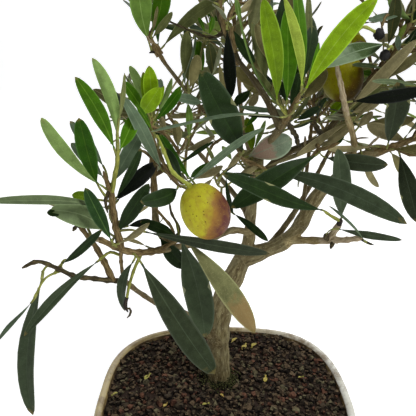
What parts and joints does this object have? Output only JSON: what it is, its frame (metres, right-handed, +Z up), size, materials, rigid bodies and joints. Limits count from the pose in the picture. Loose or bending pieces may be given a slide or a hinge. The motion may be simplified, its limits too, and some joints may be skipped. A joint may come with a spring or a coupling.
{
  "type": "potted olive bonsai",
  "caption": "Small olive bonsai whose leaning trunk forks low into limbs, thin boughs and airy masses of narrow leaves with some olives, in a low cream glazed pot.",
  "frame": {"origin": "centre of the pot's flat underside", "axes": "+Z up, -Y towards the side the tree is seen from, +X to the right seen from there, the way the trunk leans"},
  "size_m": [0.2324, 0.1984, 0.3182],
  "materials": {
    "ceramic": "gloss",
    "soil": "matte",
    "bark": "matte",
    "foliage": "satin"
  },
  "bodies": {
    "root": {"pot": "ceramic", "soil": "soil", "trunk": "bark", "left_limb": "bark", "right_limb": "bark", "back_left_bough": "bark", "back_right_bough": "bark", "back_top_bough": "bark", "centre_bough": "bark", "front_left_bough": "bark", "inner_bough": "bark", "low_left_bough": "bark", "low_right_bough": "bark", "mid_right_bough": "bark", "outer_right_bough": "bark", "right_back_bough": "bark", "top_bough": "bark", "upper_left_bough": "bark", "upper_right_bough": "bark", "upright_left_bough": "bark", "upright_right_bough": "bark", "foliage_back_left": "foliage", "foliage_back_right": "foliage", "foliage_back_top": "foliage", "foliage_centre": "foliage", "foliage_front_right": "foliage", "foliage_inner": "foliage", "foliage_left": "foliage", "foliage_low_left": "foliage", "foliage_low_right": "foliage", "foliage_mid_left": "foliage", "foliage_mid_right": "foliage", "foliage_outer_right": "foliage", "foliage_right_back": "foliage", "foliage_top": "foliage", "foliage_upper_left": "foliage", "foliage_upper_right": "foliage"}
  },
  "joints": []
}
